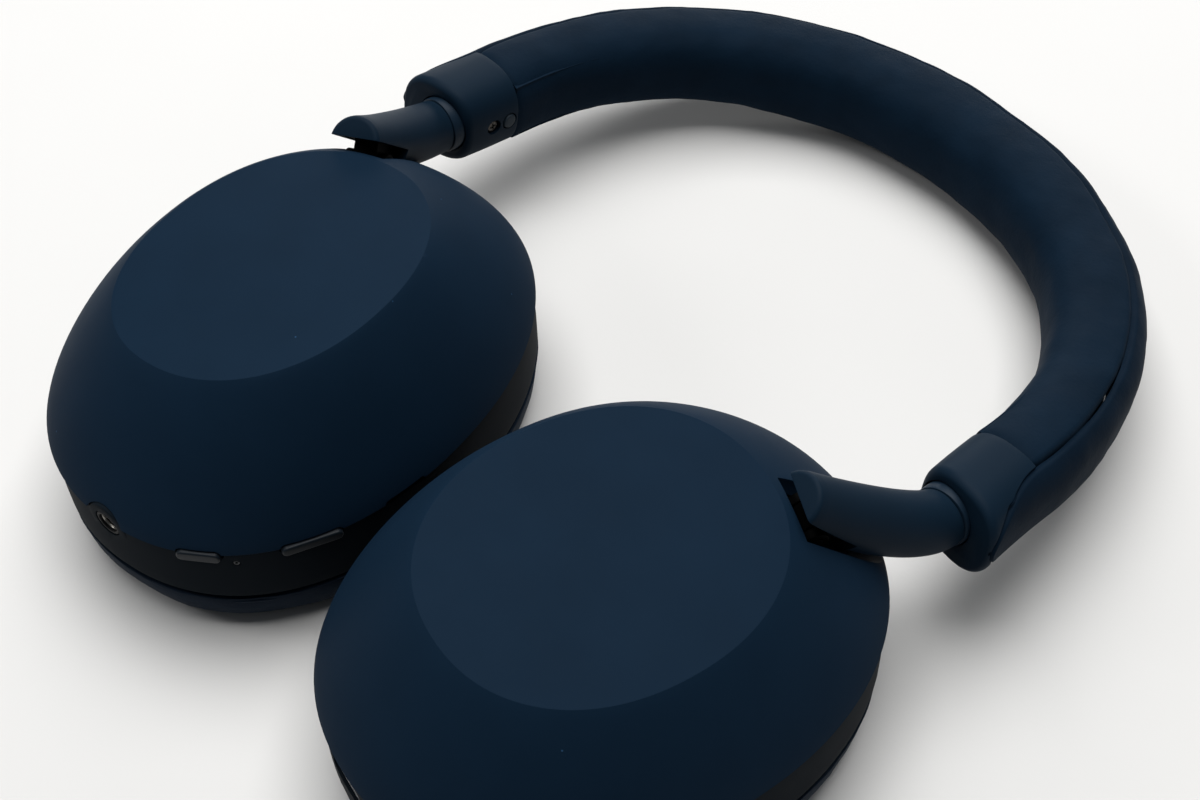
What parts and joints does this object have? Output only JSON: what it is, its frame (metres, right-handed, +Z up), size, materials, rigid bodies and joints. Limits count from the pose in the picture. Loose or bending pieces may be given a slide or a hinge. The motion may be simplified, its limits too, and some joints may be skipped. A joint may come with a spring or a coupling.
{
  "type": "over ear headphones",
  "caption": "Folding wireless over ear headphones lying flat: padded headband, sliding round arms that swivel, tilting oval cups with soft ear pads, side keys and sockets.",
  "frame": {"origin": "centre of the headphones' bounding box on the surface that the ear pads lie on", "axes": "+X towards the right cup, +Y from the cups to the top of the headband, +Z up, away from the ear pads' faces"},
  "size_m": [0.158, 0.1921, 0.0481],
  "materials": {
    "navy_shell": "soft touch satin",
    "slate_shell": "fine matte",
    "pad_leather": "soft synthetic leather",
    "band_leather": "soft synthetic leather",
    "black_plastic": "matte",
    "spring_steel": "plain",
    "jack_brass": "plated",
    "board_green": "solder mask",
    "light_guide": "clear white",
    "cell_wrap": "silver wrap",
    "scrim_cloth": "open weave"
  },
  "bodies": {
    "headband": {"headband_core": "spring_steel", "headband_cushion": "band_leather", "headband_cover": "band_leather", "end_cap_left": "navy_shell", "slider_guide_left": "black_plastic", "end_cap_screw_left": "spring_steel", "side_marker_left": "slate_shell", "end_cap_right": "navy_shell", "slider_guide_right": "black_plastic", "end_cap_screw_right": "spring_steel", "side_marker_right": "slate_shell"},
    "slide_arm_left": {"slider_left": "navy_shell"},
    "yoke_left": {"arm_left": "navy_shell", "hinge_knuckle_left": "black_plastic"},
    "cup_left": {"outer_shell_left": "navy_shell", "inner_shell_left": "slate_shell", "ear_pad_left": "pad_leather", "acoustic_scrim_left": "scrim_cloth", "baffle_left": "black_plastic", "driver_basket_left": "black_plastic", "driver_diaphragm_left": "cell_wrap", "driver_magnet_left": "spring_steel", "hinge_bracket_left": "spring_steel", "hinge_pin_left": "spring_steel", "jack_socket": "jack_brass", "status_led": "light_guide", "mic_grille": "black_plastic", "main_board": "board_green", "button_board": "board_green"},
    "slide_arm_right": {"slider_right": "navy_shell"},
    "yoke_right": {"arm_right": "navy_shell", "hinge_knuckle_right": "black_plastic"},
    "cup_right": {"outer_shell_right": "navy_shell", "inner_shell_right": "slate_shell", "ear_pad_right": "pad_leather", "acoustic_scrim_right": "scrim_cloth", "baffle_right": "black_plastic", "driver_basket_right": "black_plastic", "driver_diaphragm_right": "cell_wrap", "driver_magnet_right": "spring_steel", "hinge_bracket_right": "spring_steel", "hinge_pin_right": "spring_steel", "usb_socket": "spring_steel", "charge_board": "board_green", "battery_pack": "cell_wrap", "touch_sensor": "jack_brass"},
    "power_key": {"power_button": "slate_shell"},
    "noise_key": {"noise_button": "slate_shell"}
  },
  "joints": [
    {"name": "extend_left", "type": "slide", "parent": "headband", "child": "slide_arm_left", "axis": [0, -0.9843, 0.1768], "range_m": [0, 0.018]},
    {"name": "swivel_left", "type": "hinge", "parent": "slide_arm_left", "child": "yoke_left", "pos_m": [-0.0642, 0.0041, 0.02454], "axis": [0, -0.9843, 0.1768], "range_deg": [0, 95], "deforming": ["ear_pad_left"]},
    {"name": "tilt_left", "type": "hinge", "parent": "yoke_left", "child": "cup_left", "pos_m": [-0.05501, -0.01854, 0.03696], "axis": [-0.8786, -0.4693, -0.0888], "range_deg": [-2, 8]},
    {"name": "extend_right", "type": "slide", "parent": "headband", "child": "slide_arm_right", "axis": [0, -0.9843, 0.1768], "range_m": [0, 0.018]},
    {"name": "swivel_right", "type": "hinge", "parent": "slide_arm_right", "child": "yoke_right", "pos_m": [0.0642, 0.0041, 0.02454], "axis": [0, 0.9843, -0.1768], "range_deg": [0, 95], "deforming": ["ear_pad_right"]},
    {"name": "tilt_right", "type": "hinge", "parent": "yoke_right", "child": "cup_right", "pos_m": [0.05501, -0.01854, 0.03696], "axis": [-0.8786, 0.4693, 0.0888], "range_deg": [-2, 8]},
    {"name": "press_power", "type": "slide", "parent": "cup_left", "child": "power_key", "axis": [-0.6286, 0.7777, 0], "range_m": [0, 0.0005], "stiffness_N_per_m": 1500, "springref_m": -0.0004},
    {"name": "press_noise", "type": "slide", "parent": "cup_left", "child": "noise_key", "axis": [-0.9325, 0.3612, 0], "range_m": [0, 0.0005], "stiffness_N_per_m": 1500, "springref_m": -0.0004}
  ]
}
